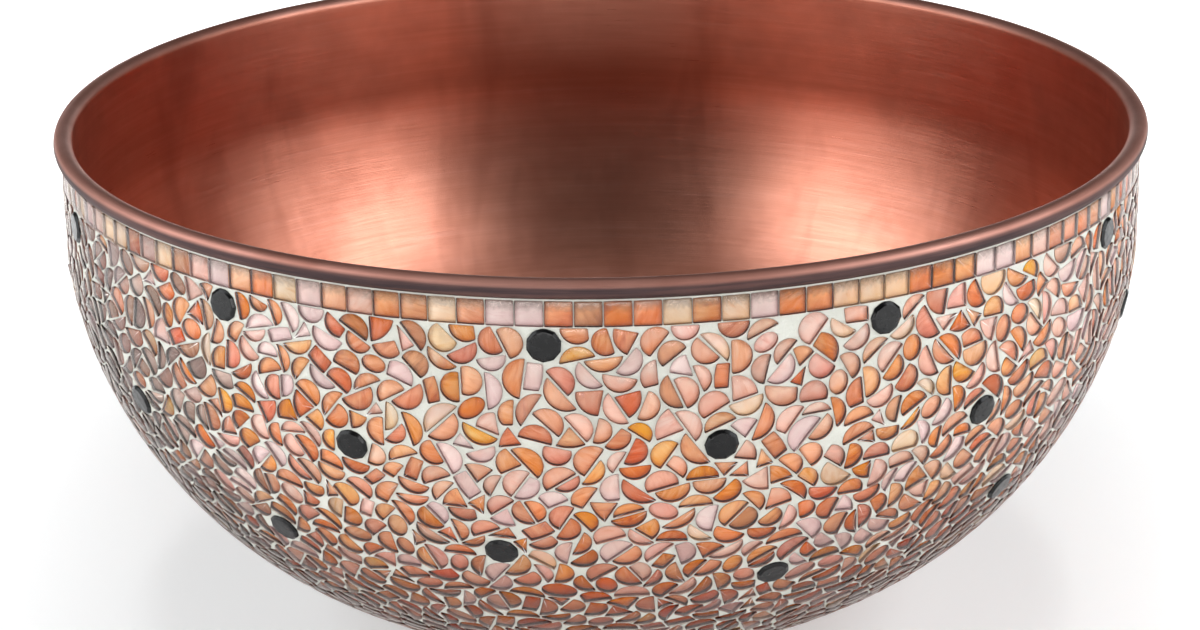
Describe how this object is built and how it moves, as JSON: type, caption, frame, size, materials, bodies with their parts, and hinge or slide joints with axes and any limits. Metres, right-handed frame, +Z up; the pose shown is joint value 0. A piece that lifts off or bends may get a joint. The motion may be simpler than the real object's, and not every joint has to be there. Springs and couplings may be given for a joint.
{
  "type": "mosaic copper bowl",
  "caption": "Round open copper bowl with a rolled wired rim, clad outside in set shell chips with black stones and a square-tile border; stands on a flat base.",
  "frame": {"origin": "centre of the flat base, on the surface it rests on", "axes": "+Z up along the bowl's axis of revolution; the front faces -Y"},
  "size_m": [0.4119, 0.412, 0.195],
  "materials": {
    "amber": "glossy shell, translucent amber",
    "apricot": "glossy shell with faint banding",
    "black_stone": "glossy black, edges nipped",
    "blush": "glossy shell with a pearly lustre",
    "copper": "satin copper, fine spun and rubbed grain, browner in the hollow",
    "coral": "glossy shell with faint banding",
    "cream": "glossy shell with a pearly lustre",
    "mortar": "matte white setting mortar and grout",
    "peach": "glossy shell with faint banding",
    "pearl": "glossy shell with a pearly lustre",
    "steel_wire": "plain drawn wire",
    "taupe": "glossy shell, smoky grey-brown",
    "umber": "glossy shell, brown"
  },
  "bodies": {
    "root": {"black_stones": "black_stone", "border_tiles_apricot": "apricot", "border_tiles_blush": "blush", "border_tiles_cream": "cream", "border_tiles_peach": "peach", "border_tiles_pearl": "pearl", "border_tiles_umber": "umber", "copper_basin": "copper", "half_moons_amber": "amber", "half_moons_apricot": "apricot", "half_moons_blush": "blush", "half_moons_coral": "coral", "half_moons_cream": "cream", "half_moons_peach": "peach", "half_moons_pearl": "pearl", "half_moons_taupe": "taupe", "half_moons_umber": "umber", "ovals_apricot": "apricot", "ovals_blush": "blush", "ovals_coral": "coral", "ovals_peach": "peach", "rim_wire": "steel_wire", "segments_amber": "amber", "segments_apricot": "apricot", "segments_blush": "blush", "segments_coral": "coral", "segments_cream": "cream", "segments_peach": "peach", "segments_pearl": "pearl", "segments_taupe": "taupe", "segments_umber": "umber", "setting_mortar": "mortar", "slabs_apricot": "apricot", "slabs_blush": "blush", "slabs_coral": "coral", "slabs_peach": "peach", "slabs_pearl": "pearl", "wedges_apricot": "apricot", "wedges_blush": "blush", "wedges_coral": "coral", "wedges_peach": "peach", "wedges_pearl": "pearl", "wedges_taupe": "taupe"}
  },
  "joints": []
}
